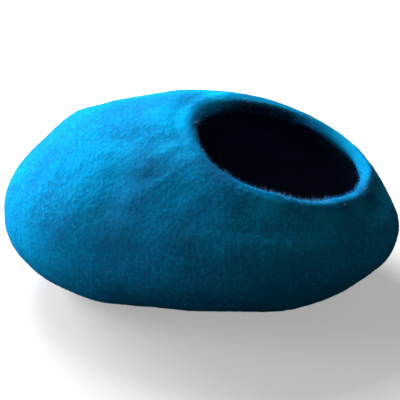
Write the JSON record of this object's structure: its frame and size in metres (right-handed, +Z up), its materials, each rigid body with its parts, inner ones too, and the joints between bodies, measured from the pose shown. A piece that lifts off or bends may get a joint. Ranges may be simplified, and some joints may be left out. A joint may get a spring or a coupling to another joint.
{
  "type": "felt pet cave",
  "caption": "Seamless wet-felted wool pet cave, a long flattened pebble with a tilted round mouth that a small animal enters from above.",
  "frame": {"origin": "on the ground, in the middle of the footprint's bounding box", "axes": "+X along the length towards the end that the mouth turns to, +Y away from the front, +Z up"},
  "size_m": [0.5012, 0.3784, 0.2257],
  "materials": {
    "wool_felt": "matte wet-felted wool, pebbled and slightly fuzzy"
  },
  "bodies": {
    "root": {"felt_shell": "wool_felt"}
  },
  "joints": []
}
